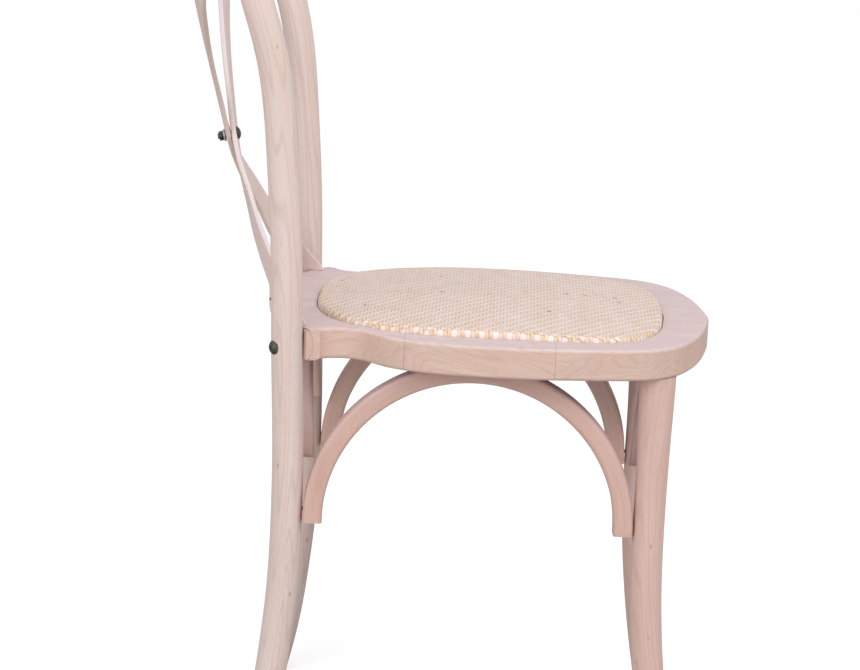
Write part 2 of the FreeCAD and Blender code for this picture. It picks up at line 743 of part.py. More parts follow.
block = saddle()
PARTS = {
    "back_hoop": hoop,
    "cross_slat_front": front_slat,
    "cross_slat_rear": rear_slat,
    "slat_bolt": slat_bolt,
    "slat_washer": slat_washer,
    "slat_nut": slat_nut,
    "slat_screws": Part.makeCompound(slat_screws()),
    "front_leg_left": mirrored(leg),
    "front_leg_right": leg,
    "front_leg_dowels": Part.makeCompound([front_leg_dowel(0), mirrored(front_leg_dowel(0))]),
    "ring_front_rail": front_rail,
    "ring_side_rail_left": side_rails[0],
    "ring_side_rail_right": side_rails[-1],
    "ring_rear_rail": rear_rail,
    "ring_dowels": ring_dowels(0),
    "saddle_block_left": mirrored(block),
    "saddle_block_right": block,
    "rear_leg_bolts": Part.makeCompound([leg_bolt(), mirrored(leg_bolt())]),
    "rear_leg_barrel_nuts": Part.makeCompound([barrel, mirrored(barrel)]),
    "side_arch_left": mirrored(side_arch),
    "side_arch_right": side_arch,
    "front_arch": front_arch,
    "rear_arch": rear_arch,
    "arch_screws": Part.makeCompound(arch_screws()),
    "seat_board": board,
    "seat_foam": foam,
    "rattan_cover": cover,
    "seat_screws": Part.makeCompound(seat_screws()),
    "foot_glides": Part.makeCompound(glides()),
}

items = [put(name, shape) for name, shape in PARTS.items()]
doc.recompute()
for item in items:
    if item.Shape.isNull() or not item.Shape.isValid() or not item.Shape.Solids:
        raise ValueError("%s is not a valid solid" % item.Label)
    if any(word in item.State for word in ("Invalid", "Error")):
        raise ValueError("%s did not compute" % item.Label)
for item in items:
    item.Shape.exportStep(os.path.join("parts", item.Label + ".step"))
    print(item.Label, len(item.Shape.Solids), round(item.Shape.Volume))
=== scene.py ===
import bmesh
import bpy
import math
import numpy as np
from mathutils import Matrix, Vector


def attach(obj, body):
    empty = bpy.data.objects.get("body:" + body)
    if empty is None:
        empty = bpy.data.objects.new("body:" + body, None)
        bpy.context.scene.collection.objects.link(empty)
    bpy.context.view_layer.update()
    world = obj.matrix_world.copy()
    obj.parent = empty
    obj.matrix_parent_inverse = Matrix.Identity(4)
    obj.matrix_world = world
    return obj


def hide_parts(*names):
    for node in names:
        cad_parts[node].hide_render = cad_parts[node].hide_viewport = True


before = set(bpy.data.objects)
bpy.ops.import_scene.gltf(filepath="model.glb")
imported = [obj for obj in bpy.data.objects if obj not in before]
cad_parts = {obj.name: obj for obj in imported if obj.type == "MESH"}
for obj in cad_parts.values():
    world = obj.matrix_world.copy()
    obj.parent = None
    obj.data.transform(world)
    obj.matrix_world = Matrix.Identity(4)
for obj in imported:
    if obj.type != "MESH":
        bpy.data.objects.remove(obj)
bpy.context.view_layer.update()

MM = 0.001
FULL_TURN = 2 * math.pi
QUARTER_TURN = math.pi / 2

# Curves and swept meshes


def lengths_along(path):
    """Distance from a path's first point to each of its points."""
    steps = np.linalg.norm(np.diff(path, axis=0), axis=1)
    return np.concatenate([[0], np.cumsum(steps)])


def unit_rows(vectors):
    return vectors / np.linalg.norm(vectors, axis=1)[:, None]


def natural_spline(points, samples):
    """Natural cubic spline: samples at even arc length, their parameters, and those of the points."""
    p = np.array(points, float)
    knots = lengths_along(p)
    count = len(knots)
    step = np.diff(knots)
    matrix = np.zeros((count, count))
    known = np.zeros((count, p.shape[1]))
    matrix[0, 0] = 1
    matrix[-1, -1] = 1
    for i in range(1, count - 1):
        before, after = step[i - 1], step[i]
        matrix[i, i - 1:i + 2] = before, 2 * (before + after), after
        known[i] = 6 * ((p[i + 1] - p[i]) / after - (p[i] - p[i - 1]) / before)
    bend = np.linalg.solve(matrix, known)

    def at(u):
        i = np.clip(np.searchsorted(knots, u) - 1, 0, count - 2)
        past = (u - knots[i])[:, None]
        left = (knots[i + 1] - u)[:, None]
        d = step[i][:, None]
        cubic = (bend[i] * left ** 3 + bend[i + 1] * past ** 3) / (6 * d)
        return cubic + (p[i] / d - bend[i] * d / 6) * left + (p[i + 1] / d - bend[i + 1] * d / 6) * past

    dense = np.linspace(0, knots[-1], 8 * samples)
    run = lengths_along(at(dense))
    even = np.interp(np.linspace(0, run[-1], samples), run, dense)
    return at(even), even, knots


def tangents(path):
    return unit_rows(np.gradient(path, axis=0))


def carried_frames(path, start):
    """Two side vectors at each point of a path, carried along it without spin."""
    along = tangents(path)
    side = np.array(start, float)
    sides = []
    for direction in along:
        side = side - direction * side.dot(direction)
        side /= np.linalg.norm(side)
        sides.append(side.copy())
    sides = np.array(sides)
    return sides, np.cross(along, sides)


def add_mesh(name, verts, faces, attributes):
    """Smooth mesh object whose points keep the given vector attributes."""
    mesh = bpy.data.meshes.new(name)
    mesh.from_pydata(verts.tolist(), [], faces)
    for key, values in attributes.items():
        layer = mesh.attributes.new(key, "FLOAT_VECTOR", "POINT")
        layer.data.foreach_set("vector", values.astype(np.float32).ravel())
    mesh.polygons.foreach_set("use_smooth", [True] * len(mesh.polygons))
    mesh.update()
    obj = bpy.data.objects.new(name, mesh)
    bpy.context.collection.objects.link(obj)
    return obj


def swept(name, path, a, b, section):
    """Closed mesh swept along a path. section(i) gives its (u, v) pairs; grain keeps u, v and the run."""
    run = lengths_along(path)
    verts = []
    grain = []
    for i, centre in enumerate(path):
        uv = section(i)
        verts.append(centre + uv[:, :1] * a[i] + uv[:, 1:] * b[i])
        grain.append(np.column_stack([uv, np.full(len(uv), run[i])]))
    around = len(verts[0])
    rings = len(path)
    i, j = np.meshgrid(np.arange(rings - 1), np.arange(around), indexing="ij")
    here = i * around + j
    beside = i * around + (j + 1) % around
    faces = np.stack([here, beside, beside + around, here + around], -1).reshape(-1, 4).tolist()
    faces.append(list(range(around))[::-1])
    faces.append([(rings - 1) * around + k for k in range(around)])
    return add_mesh(name, np.concatenate(verts), faces, {"grain": np.concatenate(grain)})


def sliced(obj, point, normal):
    """Cut a mesh by a plane and close it; the side that the normal points to is removed."""
    bm = bmesh.new()
    bm.from_mesh(obj.data)
    everything = bm.verts[:] + bm.edges[:] + bm.faces[:]
    cut = bmesh.ops.bisect_plane(bm, geom=everything, dist=1e-6, plane_co=point, plane_no=normal,
                                 clear_outer=True)
    rim = [g for g in cut["geom_cut"] if isinstance(g, bmesh.types.BMEdge)]
    filled = bmesh.ops.holes_fill(bm, edges=rim, sides=0)
    for face in filled["faces"]:
        face.smooth = False
    bm.to_mesh(obj.data)
    bm.free()
    return obj


def circle(steps):
    angle = np.linspace(0, FULL_TURN, steps, endpoint=False)
    return np.column_stack([np.cos(angle), np.sin(angle)])


def round_rect(wide, thin, radius, steps=4):
    """Outline of a rectangle with rounded corners."""
    a = wide / 2 - radius
    b = thin / 2 - radius
    pts = []
    for quarter, (cx, cy) in enumerate(((a, b), (-a, b), (-a, -b), (a, -b))):
        for s in range(steps + 1):
            w = QUARTER_TURN * (quarter + s / steps)
            pts.append((cx + radius * math.cos(w), cy + radius * math.sin(w)))
    return np.array(pts)


# Sizes of the CAD part, mm. The rod is the bent hoop; its post, knee and heel are at the ring, under it
# and on the floor.
SEAT_TOP = 462.0
BACK_TOP = 905.0
RING_THICK = 32.0
RING_UNDER = SEAT_TOP - RING_THICK
RING_MID = SEAT_TOP - RING_THICK / 2
RING_HALF = 212.0
RING_FRONT = 272.5
ROD_R = 16.0
TOP_Z = BACK_TOP - ROD_R
POST_X = 168.0
POST_Y = 161.5
KNEE_X = 165.5
KNEE_Y = 155.4
HEEL_Y = 184.0
SHOULDER_X = 175.5
ARCH_POWER = 3.0
FRONT_X = 155.0
FRONT_Y = 215.5
FRONT_SPLAY = 26.1
LEG_R = 16.35
LEG_HEAD_R = 18.75
GLIDE = 3.0
BAND = 20.0
GAP = 0.4
ROD_SIDES = 48
ROD_SAMPLES = 620
SLAT_SAMPLES = 260
LEG_SAMPLES = 150

# The rod below the knee: share of the ring's height, share of the heel's run
LEG_BEND = ((0.135, 0.545), (0.27, 0.265), (0.43, 0.055), (0.605, 0.0))
KNEE_TO_POST = (0.78, 0.12, 0.25)
# The rod above the ring: share of the rise, share of the way out to the shoulder, run back
BACK_BEND = ((0.18, 0.16, 3), (0.43, 0.42, 11.3), (0.61, 0.72, 20.9), (0.71, 1, 31.5))
# Half of the top arch: angle, run back
TOP_BEND = ((15, 48), (30, 55), (45, 61.5), (60, 66.5), (75, 70.5), (90, 73.5))
FLOOR_SPARE = 8.0
ROD_START = -30 * MM


def hoop_half():
    """Points of the rod's axis from below one foot to the middle of the top arch."""
    heel_run = HEEL_Y - KNEE_Y
    pts = [(KNEE_X, HEEL_Y + FLOOR_SPARE, -2 * ROD_R), (KNEE_X, HEEL_Y, 0)]
    for height, run in LEG_BEND:
        pts.append((KNEE_X, KNEE_Y + run * heel_run, height * RING_MID))
    height, out, back = KNEE_TO_POST
    pts.append((KNEE_X + out * (POST_X - KNEE_X), KNEE_Y + back * (POST_Y - KNEE_Y), height * RING_MID))
    pts.append((POST_X, POST_Y, RING_MID))
    for height, out, run in BACK_BEND:
        x = POST_X + out * (SHOULDER_X - POST_X)
        pts.append((x, POST_Y + run, RING_MID + height * (TOP_Z - RING_MID)))
    start = pts[-1][2]
    power = 2 / ARCH_POWER
    for angle, run in TOP_BEND:
        w = math.radians(angle)
        x = SHOULDER_X * math.cos(w) ** power if angle < 90 else 0
        pts.append((x, POST_Y + run, start + (TOP_Z - start) * math.sin(w) ** power))
    return pts


def make_hoop():
    half = hoop_half()
    pts = np.array(half + [(-x, y, z) for x, y, z in reversed(half[:-1])]) * MM
    path, _, _ = natural_spline(pts, ROD_SAMPLES)
    path = path[path[:, 2] > ROD_START]
    a, b = carried_frames(path, (1, 0, 0))
    section = circle(ROD_SIDES) * ROD_R * MM
    obj = swept("back_hoop_rod", path, a, b, lambda i: section)
    return sliced(obj, (0, 0, GLIDE * MM), (0, 0, -1))


# Slat course: X share, run back from the post, share of the height, twist of the front and the rear slat
SLAT_COURSE = [
    (-1.0, -10.0, -0.030, -90, -90), (-1.0, -2.4, 0.002, -90, -90), (-0.965, 3.7, 0.021, -70, -80),
    (-0.86, 12.9, 0.054, -42, -65), (-0.75, 18.6, 0.089, -22, -48), (-0.668, 27.4, 0.124, -16, -31),
    (-0.58, 35.6, 0.159, -13, -15), (-0.487, 44.3, 0.201, -9, -2), (-0.342, 53.9, 0.253, -3, 3),
    (-0.158, 67.0, 0.323, 4, 11), (0.0, 76.5, 0.396, 6, 13), (0.155, 84.5, 0.487, 7, 15),
    (0.362, 92.4, 0.581, 11, 15), (0.582, 97.9, 0.663, 14, 18), (0.775, 101.8, 0.733, 20, 23),
    (0.905, 102.0, 0.7915, 34, 29), (0.955, 92.0, 0.843, 53, 46), (0.955, 77.5, 0.8806, 73, 68),
    (0.935, 62.3, 0.904, 92, 94),
]
SLAT_WIDE = 27.5
SLAT_THICK = 5.2
SLAT_ROUND = 1.5
SLAT_OFFSET = 3.4
SLAT_CLEARANCE = 0.1
SLAT_END = POST_X - ROD_R - SLAT_THICK / 2 - SLAT_CLEARANCE


def make_slat(name, side, mirrored):
    """Twisted slat. side is -1 for the front one and 1 for the rear one, which is mirrored across X."""
    pts = []
    for x, run, height, _, _ in SLAT_COURSE:
        y = POST_Y + run + side * SLAT_OFFSET * (1 - x * x)
        pts.append((x * SLAT_END, y, SEAT_TOP + height * (TOP_Z - SEAT_TOP)))
    pts = np.array(pts) * MM
    path, even, knots = natural_spline(pts, SLAT_SAMPLES)
    along = tangents(path)
    wide = []
    for point, row in zip(pts, SLAT_COURSE):
        direction = along[int(np.argmin(np.linalg.norm(path - point, axis=1)))]
        level = np.array((0, 1, 0)) - direction * direction[1]
        level /= np.linalg.norm(level)
        twist = math.radians(row[4] if mirrored else row[3])
        wide.append(np.cross(direction, level) * math.cos(twist) + level * math.sin(twist))
    wide = np.array(wide)
    a = np.column_stack([np.interp(even, knots, wide[:, axis]) for axis in range(3)])
    for _ in range(3):
        a[1:-1] = (a[:-2] + 2 * a[1:-1] + a[2:]) / 4
    a = unit_rows(a - along * np.sum(a * along, axis=1)[:, None])
    b = np.cross(along, a)
    section = round_rect(SLAT_WIDE * MM, SLAT_THICK * MM, SLAT_ROUND * MM)
    if mirrored:
        flip = (-1, 1, 1)
        path, a, b = path * flip, a * flip, b * flip
        section = section[::-1]
    obj = swept(name, path, a, b, lambda i: section)
    return sliced(obj, (0, 0, (SEAT_TOP + GAP) * MM), (0, 0, -1))


# Front leg: share of the height, share of the splay, share of the head's extra thickness
FRONT_LEG = (
    (0.0, 1.0, 0.0), (0.14, 0.60, 0.0), (0.30, 0.25, 0.0), (0.40, 0.10, 0.0), (0.535, 0.0, 0.0),
    (0.76, 0.0, 0.0), (0.85, 0.0, 0.30), (0.93, 0.0, 0.72), (1.0, 0.0, 1.0),
)


def make_front_leg(name, side):
    pts = []
    for height, splay, taper in FRONT_LEG:
        z = GLIDE + height * (RING_UNDER - GLIDE)
        pts.append((side * FRONT_X, -FRONT_Y - splay * FRONT_SPLAY, z, LEG_R + taper * (LEG_HEAD_R - LEG_R)))
    fine, _, _ = natural_spline(np.array(pts) * MM, LEG_SAMPLES)
    path = fine[:, :3]
    radius = fine[:, 3]
    a = np.tile((1.0, 0, 0), (len(path), 1))
    b = np.tile((0, 1.0, 0), (len(path), 1))
    section = circle(ROD_SIDES)
    return swept(name, path, a, b, lambda i: section * radius[i])


# Woven pad, mm. Opening of the ring, right half: X over the ring's half width, Y over its front reach
# where negative and over the post's Y where positive.
RING_OPENING = [
    (0.0, -0.823), (0.198, -0.818), (0.375, -0.806), (0.535, -0.774), (0.660, -0.720), (0.745, -0.635),
    (0.785, -0.517), (0.798, -0.345), (0.803, -0.187), (0.797, 0.050), (0.762, 0.310), (0.673, 0.530),
    (0.551, 0.705), (0.392, 0.812), (0.198, 0.862), (0.0, 0.870),
]
LEDGE_Z = 450.0
PAD_GAP = 0.8
PAD_CROWN = 13.0
PAD_ROUND = 6.0
CROWN_RADIUS = 2500.0
CROWN_Y = -40.0
PAD_AROUND = 1080
PAD_RINGS = 170
PAD_INNER_SHARE = 0.004
WALL_RINGS = 7
STRAND_X = 4.6
STRAND_Y = 3.5
STRAND_LIFT = 0.6
STRAND_BOW = 0.6
CROSSING_WAVE = 0.45
STRAND_NARROWING = 2.1
CANE_NODES = 9
CANE_NODE_HALF = (3.2, 2.0)
CANE_NODE_X = (-150, 150)
CANE_NODE_Y = (-200, 120)
RIM_FADE = 17.0
TONES = 160


def pad_outline(samples):
    """Outline of the ring's opening, drawn in by the pad's gap."""
    right = [(x * RING_HALF, y * (RING_FRONT if y < 0 else POST_Y)) for x, y in RING_OPENING]
    loop = right + [(-x, y) for x, y in reversed(right[1:-1])]
    wrap = 4
    pts = loop[-wrap:] + loop + loop[:wrap + 1]
    fine, even, knots = natural_spline(pts, 6 * samples)
    fine = fine[(even >= knots[wrap]) & (even < knots[wrap + len(loop)])]
    fine = fine[np.linspace(0, len(fine), samples, endpoint=False).astype(int)]
    run = np.roll(fine, -1, axis=0) - np.roll(fine, 1, axis=0)
    inward = unit_rows(np.column_stack([-run[:, 1], run[:, 0]]))
    return fine + inward * PAD_GAP


def strand_height(along, index, phase, across):
    """Height of a strand that dips under its neighbours and is bowed across its width."""
    bow = np.sqrt(np.clip(1 - (STRAND_NARROWING * across) ** 2, 0, 1))
    return CROSSING_WAVE * np.cos(QUARTER_TURN * (along + index - phase)) + STRAND_BOW * bow


def weave(x, y):
    """Over-two-under-two weave at points in mm: height, where the weft is on top, and strand numbers."""
    u = x / STRAND_X
    v = y / STRAND_Y
    i = np.floor(u)
    j = np.floor(v)
    weft = strand_height(v, i, 1, u - i - 0.5)
    warp = strand_height(u, j, 3, v - j - 0.5)
    return np.maximum(weft, warp), weft > warp, i, j


def make_pad():
    """Woven rattan pad: crowned top with a rounded rim, wall down to the ledge, closed below."""
    rim = pad_outline(PAD_AROUND)
    centre = np.array((0, CROWN_Y))
    share = np.linspace(PAD_INNER_SHARE, 1, PAD_RINGS)
    flat = centre + (rim[None, :, :] - centre) * share[:, None, None]
    from_edge = np.linalg.norm(rim - centre, axis=1)[None, :] * (1 - share[:, None])
    x = flat[..., 0]
    y = flat[..., 1]
    dome = np.sqrt(CROWN_RADIUS ** 2 - x ** 2 - (y - CROWN_Y) ** 2)
    top = SEAT_TOP + PAD_CROWN - CROWN_RADIUS + dome
    near = np.clip(PAD_ROUND - from_edge, 0, PAD_ROUND)
    top -= PAD_ROUND - np.sqrt(PAD_ROUND ** 2 - near ** 2)
    lift, weft_on_top, i, j = weave(x, y)
    height = top + (lift - STRAND_BOW) * STRAND_LIFT * np.clip(from_edge / 2, 0.25, 1)

    rng = np.random.default_rng(5)
    weft_tone = rng.normal(0, 1, TONES)
    warp_tone = rng.normal(0, 1, TONES)
    weft_number = (i + 60).astype(int) % TONES
    warp_number = (j + 90).astype(int) % TONES
    tone = np.where(weft_on_top, weft_tone[weft_number], warp_tone[warp_number])
    dark = np.zeros_like(x)
    for _ in range(CANE_NODES):
        cx = rng.uniform(*CANE_NODE_X)
        cy = rng.uniform(*CANE_NODE_Y)
        dark += np.exp(-((x - cx) / CANE_NODE_HALF[0]) ** 2 - ((y - cy) / CANE_NODE_HALF[1]) ** 2)
    edge = np.clip(1.15 - from_edge / RIM_FADE, 0, 1)
    levels = [np.stack([x, y, height], -1)]
    strands = [np.stack([np.where(weft_on_top, 0.0, 1.0), tone, np.clip(lift / 1.05, 0, 1)], -1)]
    spots = [np.stack([np.clip(dark, 0, 1), edge, np.zeros_like(x)], -1)]

    none = np.zeros(PAD_AROUND)
    for z in np.linspace(height[-1].mean(), LEDGE_Z, WALL_RINGS + 1)[1:]:
        levels.append(np.stack([rim[:, 0], rim[:, 1], np.full(PAD_AROUND, z)], -1)[None])
        lift, weft_on_top, _, _ = weave(rim[:, 0] + z, rim[:, 1])
        strands.append(np.stack([np.where(weft_on_top, 0.0, 1.0), lift - 0.5, np.clip(lift, 0, 1)], -1)[None])
        spots.append(np.stack([none, none + 1, none], -1)[None])
    verts = np.concatenate(levels).reshape(-1, 3) * MM
    rows = len(verts) // PAD_AROUND
    a, b = np.meshgrid(np.arange(rows - 1), np.arange(PAD_AROUND), indexing="ij")
    here = a * PAD_AROUND + b
    beside = a * PAD_AROUND + (b + 1) % PAD_AROUND
    faces = np.stack([here, here + PAD_AROUND, beside + PAD_AROUND, beside], -1).reshape(-1, 4).tolist()
    faces.append([(rows - 1) * PAD_AROUND + k for k in range(PAD_AROUND)])
    faces.append(list(range(PAD_AROUND))[::-1])
    marks = {"strand": np.concatenate(strands), "spots": np.concatenate(spots)}
    return add_mesh("woven_rattan_pad", verts, faces, marks)


# Materials


class Tree:
    """Node tree of one material, with a short word for each kind of node used here."""

    def __init__(self, name):
        self.mat = bpy.data.materials.new(name)
        self.mat.use_nodes = True
        self.nodes = self.mat.node_tree.nodes
        self.links = self.mat.node_tree.links
        self.nodes.clear()
        self.out = self.nodes.new("ShaderNodeOutputMaterial")
        self.bsdf = self.nodes.new("ShaderNodeBsdfPrincipled")
        self.links.new(self.bsdf.outputs["BSDF"], self.out.inputs["Surface"])

    def put(self, value, socket):
        """Link a socket, or set it to a number or a colour."""
        if isinstance(value, bpy.types.NodeSocket):
            self.links.new(value, socket)
        elif isinstance(value, tuple):
            socket.default_value = (*value, 1)
        else:
            socket.default_value = value

    def attribute(self, name):
        source = self.nodes.new("ShaderNodeAttribute")
        source.attribute_name = name
        return source.outputs["Vector"]

    def place(self):
        return self.nodes.new("ShaderNodeTexCoord").outputs["Object"]

    def mapped(self, vector, scale=(1, 1, 1), offset=(0, 0, 0), turn=(0, 0, 0)):
        mapping = self.nodes.new("ShaderNodeMapping")
        mapping.inputs["Scale"].default_value = scale
        mapping.inputs["Location"].default_value = offset
        mapping.inputs["Rotation"].default_value = turn
        self.links.new(vector, mapping.inputs["Vector"])
        return mapping.outputs["Vector"]

    def parts(self, vector):
        split = self.nodes.new("ShaderNodeSeparateXYZ")
        self.links.new(vector, split.inputs[0])
        return split.outputs

    def noise(self, vector, scale, offset=(0, 0, 0), detail=3, rough=0.5, distortion=0.0):
        texture = self.nodes.new("ShaderNodeTexNoise")
        texture.inputs["Scale"].default_value = 1.0
        texture.inputs["Detail"].default_value = detail
        texture.inputs["Roughness"].default_value = rough
        texture.inputs["Distortion"].default_value = distortion
        self.links.new(self.mapped(vector, scale, offset), texture.inputs["Vector"])
        return texture.outputs["Fac"]

    def cells(self, vector, scale, offset):
        """Distance from the nearest cell point, and a random number for its cell."""
        texture = self.nodes.new("ShaderNodeTexVoronoi")
        texture.inputs["Scale"].default_value = 1.0
        self.links.new(self.mapped(vector, scale, offset), texture.inputs["Vector"])
        split = self.nodes.new("ShaderNodeSeparateColor")
        self.links.new(texture.outputs["Color"], split.inputs[0])
        return texture.outputs["Distance"], split.outputs[0]

    def tones(self, value, low, low_colour, high, high_colour):
        ramp = self.nodes.new("ShaderNodeValToRGB")
        for element, stop, colour in zip(ramp.color_ramp.elements, (low, high), (low_colour, high_colour)):
            element.position = stop
            element.color = (*colour, 1)
        self.links.new(value, ramp.inputs["Fac"])
        return ramp.outputs["Color"]

    def mask(self, value, low, high):
        return self.tones(value, low, (0, 0, 0), high, (1, 1, 1))

    def mask_below(self, value, low, high):
        return self.tones(value, low, (1, 1, 1), high, (0, 0, 0))

    def blend(self, share, below, above, mode="MIX"):
        node = self.nodes.new("ShaderNodeMix")
        node.data_type = "RGBA"
        node.blend_type = mode
        self.put(share, node.inputs[0])
        self.put(below, node.inputs[6])
        self.put(above, node.inputs[7])
        return node.outputs[2]

    def calc(self, operation, a, b=0.0):
        node = self.nodes.new("ShaderNodeMath")
        node.operation = operation
        self.put(a, node.inputs[0])
        self.put(b, node.inputs[1])
        return node.outputs[0]

    def times(self, a, b):
        return self.calc("MULTIPLY", a, b)

    def plus(self, a, b):
        return self.calc("ADD", a, b)

    def layer(self, below, where, amount, colour):
        """Colour laid over another where a mask is white, by an amount."""
        return self.blend(self.times(where, amount), below, colour)

    def finish(self, colour, rough, height, strength, distance):
        self.links.new(colour, self.bsdf.inputs["Base Color"])
        self.links.new(rough, self.bsdf.inputs["Roughness"])
        bump = self.nodes.new("ShaderNodeBump")
        bump.inputs["Strength"].default_value = strength
        bump.inputs["Distance"].default_value = distance
        self.links.new(height, bump.inputs["Height"])
        self.links.new(bump.outputs["Normal"], self.bsdf.inputs["Normal"])
        return self.mat


def bent_place(tree, plane, centre_level, centre_z, radius):
    """Place in a bent band: across it, out from its centre, and along its bend."""
    x, y, z = tree.parts(tree.place())[:3]
    level, across = (x, y) if plane == "XZ" else (y, x)
    level = tree.calc("SUBTRACT", level, centre_level)
    rise = tree.calc("SUBTRACT", z, centre_z)
    out = tree.calc("SQRT", tree.plus(tree.times(level, level), tree.times(rise, rise)))
    along = tree.times(tree.calc("ARCTAN2", rise, level), radius)
    join = tree.nodes.new("ShaderNodeCombineXYZ")
    for value, socket in zip((across, out, along), join.inputs):
        tree.links.new(value, socket)
    return join.outputs[0]


# Beech: grain in noise cells a metre (across, across, along), and marks as shares of the wood's tint
WANDER_GRAIN = (6, 6, 3)
BROAD_GRAIN = (28, 28, 3.2)
BAND_GRAIN = (260, 260, 5)
FIBRE_GRAIN = (1500, 1500, 40)
FLECK_GRAIN = (1100, 1100, 170)
LIME_GRAIN = (60, 60, 16)
KNOT_GRAIN = (38, 38, 17)
CATHEDRAL_GRAIN = (20, 20, 1.4)
CATHEDRAL_RINGS = 150.0
WARM_BAND = (0.97, 0.87, 0.80)
WARM_PATCH = (1.0, 0.92, 0.86)
LIME_WASH = (1.06, 1.12, 1.22)
FLECK_SHARE = (0.72, 0.58, 0.50)
KNOT_SHARE = (0.72, 0.45, 0.34)
CATHEDRAL_SHARE = (0.80, 0.66, 0.60)
# Painted skylight: faces turned upward are made paler and cooler, standing in for cool light from above
TOP_SKYLIGHT_TINT = (1.05, 1.20, 1.45)
TOP_SKYLIGHT_SHARE = 0.85

POST_TINT = (0.67, 0.555, 0.51)
RING_TINT = (0.62, 0.455, 0.385)
ARCH_TINT = (0.59, 0.40, 0.345)
LEG_TINT = (0.63, 0.45, 0.40)
PLYWOOD_TINT = (0.62, 0.47, 0.32)


def tinted(tint, shares):
    return tuple(min(1, colour * share) for colour, share in zip(tint, shares))


def limed_beech(name, tint, seed, turn=None, bend=None, cathedral=0.0, knots=0.0):
    """Pale limewashed beech. Swept pieces carry their grain; others read it from place, turned or bent."""
    tree = Tree(name)
    if bend is not None:
        vec = bent_place(tree, *bend)
    elif turn is None:
        vec = tree.attribute("grain")
    else:
        vec = tree.mapped(tree.place(), turn=turn)
    shift = (seed * 1.37, seed * 0.71, seed * 2.13)
    wander = tree.noise(vec, WANDER_GRAIN, shift, 2)
    broad = tree.noise(vec, BROAD_GRAIN, shift, 3)
    bands = tree.noise(vec, BAND_GRAIN, shift, 3, 0.55, 0.25)
    fibre = tree.noise(vec, FIBRE_GRAIN, shift, 2)
    fleck = tree.mask(tree.noise(vec, FLECK_GRAIN, shift, 1, 0.4), 0.635, 0.70)
    lime = tree.noise(vec, LIME_GRAIN, shift, 4, 0.6)

    base = tree.tones(broad, 0.30, tinted(tint, (0.93,) * 3), 0.70, tinted(tint, (1.04,) * 3))
    base = tree.layer(base, tree.mask(bands, 0.42, 0.62), 0.55, tinted(tint, WARM_BAND))
    base = tree.layer(base, tree.mask(wander, 0.45, 0.75), 0.35, tinted(tint, WARM_PATCH))
    base = tree.layer(base, tree.mask(lime, 0.48, 0.72), 0.30, tinted(tint, LIME_WASH))
    base = tree.layer(base, fleck, 0.34, tinted(tint, FLECK_SHARE))
    if knots:
        distance, number = tree.cells(vec, KNOT_GRAIN, shift)
        knot = tree.times(tree.mask_below(distance, 0.030, 0.062), tree.mask(number, 0.55, 0.60))
        base = tree.layer(base, knot, knots, tinted(tint, KNOT_SHARE))
    if cathedral:
        warp = tree.noise(vec, CATHEDRAL_GRAIN, shift, 2, 0.45)
        rings = tree.calc("SINE", tree.times(warp, CATHEDRAL_RINGS))
        base = tree.layer(base, tree.mask(rings, 0.55, 0.98), cathedral, tinted(tint, CATHEDRAL_SHARE))
    # Painted skylight: the wood's colour is tinted paler and cooler where its faces turn up
    facing = tree.nodes.new("ShaderNodeNewGeometry").outputs["Normal"]
    skylit_top = tree.mask(tree.parts(facing)[2], 0.25, 0.85)
    base = tree.layer(base, skylit_top, TOP_SKYLIGHT_SHARE, tree.blend(1.0, base, TOP_SKYLIGHT_TINT, "MULTIPLY"))

    rough = tree.plus(tree.times(bands, 0.16), 0.50)
    pores = tree.calc("SUBTRACT", bands, tree.times(fleck, 0.8))
    tree.bsdf.inputs["Specular IOR Level"].default_value = 0.35
    return tree.finish(base, rough, tree.plus(tree.times(fibre, 0.5), pores), 0.20, 0.0004)


WEFT_COLOUR = (0.80, 0.71, 0.69)
WARP_COLOUR = (0.73, 0.61, 0.53)
RIM_COLOUR = (0.72, 0.50, 0.25)
TAN_COLOUR = (0.70, 0.52, 0.38)
FIBRE_COLOUR = (0.62, 0.47, 0.32)
CREVICE_SHADE_COLOUR = (0.42, 0.24, 0.15)
CANE_NODE_COLOUR = (0.20, 0.09, 0.04)


def woven_rattan(name):
    """Cream weft over golden warp, each strand with its own tone, fibres along it and shade between."""
    tree = Tree(name)
    warp_on_top, tone, lift = tree.parts(tree.attribute("strand"))[:3]
    cane_node, rim = tree.parts(tree.attribute("spots"))[:2]
    place = tree.place()
    patch = tree.noise(place, (26, 60, 26), rough=0.6)
    fibre_y = tree.noise(place, (1600, 60, 400), detail=2)
    fibre_x = tree.noise(place, (60, 1600, 400), detail=2)
    fibre = tree.plus(tree.times(fibre_y, 0.5), tree.times(fibre_x, 0.5))
    gold_patch = tree.mask(tree.noise(place, (70, 70, 70), (3, 1, 0), rough=0.6), 0.40, 0.60)

    rim_gold = tree.times(rim, tree.plus(tree.times(gold_patch, 0.65), 0.15))
    base = tree.blend(warp_on_top, WEFT_COLOUR, tree.blend(rim_gold, WARP_COLOUR, RIM_COLOUR))
    swing = tree.plus(tree.times(tone, 0.15), tree.times(patch, 0.5))
    base = tree.layer(base, tree.mask(swing, 0.10, 0.50), 0.42, TAN_COLOUR)
    base = tree.layer(base, tree.mask(fibre, 0.40, 0.62), 0.16, FIBRE_COLOUR)
    crevice_shade = tree.plus(tree.times(patch, 1.1), 0.42)
    # Painted shade: strands are darkened where they dip low between their neighbours
    base = tree.layer(base, tree.mask_below(lift, 0.30, 0.78), crevice_shade, CREVICE_SHADE_COLOUR)
    base = tree.layer(base, cane_node, 0.75, CANE_NODE_COLOUR)
    rough = tree.plus(tree.times(fibre, 0.25), 0.42)
    return tree.finish(base, rough, fibre, 0.35, 0.0003)


